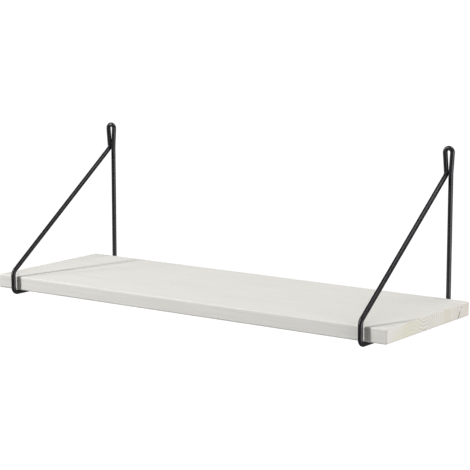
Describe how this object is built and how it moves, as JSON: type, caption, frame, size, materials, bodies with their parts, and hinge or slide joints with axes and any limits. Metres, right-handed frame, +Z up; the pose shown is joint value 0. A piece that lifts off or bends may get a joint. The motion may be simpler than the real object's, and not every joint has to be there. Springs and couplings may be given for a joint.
{
  "type": "wall shelf",
  "caption": "Wall shelf: an edge-glued pine board with a white glaze, resting in bent black round-rod brackets that hang from wall screws by their eyelets.",
  "frame": {"origin": "centre of the board's top face", "axes": "+X along the board, +Y towards the wall, +Z up"},
  "size_m": [0.6, 0.2155, 0.214],
  "materials": {
    "glazed_pine": "pine with a thin white glaze, matt, faint grain, eased edges",
    "black_powder_coat": "black powder coat, satin, very fine texture"
  },
  "bodies": {
    "bracket_left": {"bracket_rod_left": "black_powder_coat", "butt_weld_left": "black_powder_coat"},
    "board": {"board_stave_1": "glazed_pine", "board_stave_2": "glazed_pine", "board_stave_3": "glazed_pine", "board_stave_4": "glazed_pine", "board_stave_5": "glazed_pine"},
    "bracket_right": {"bracket_rod_right": "black_powder_coat", "butt_weld_right": "black_powder_coat"}
  },
  "joints": [
    {"name": "board_slide", "type": "slide", "parent": "bracket_left", "child": "board", "axis": [1, 0, 0], "range_m": [-0.015, 0.015]},
    {"name": "bracket_right_slide", "type": "slide", "parent": "bracket_left", "child": "bracket_right", "axis": [1, 0, 0], "range_m": [-0.2, 0.01]}
  ]
}
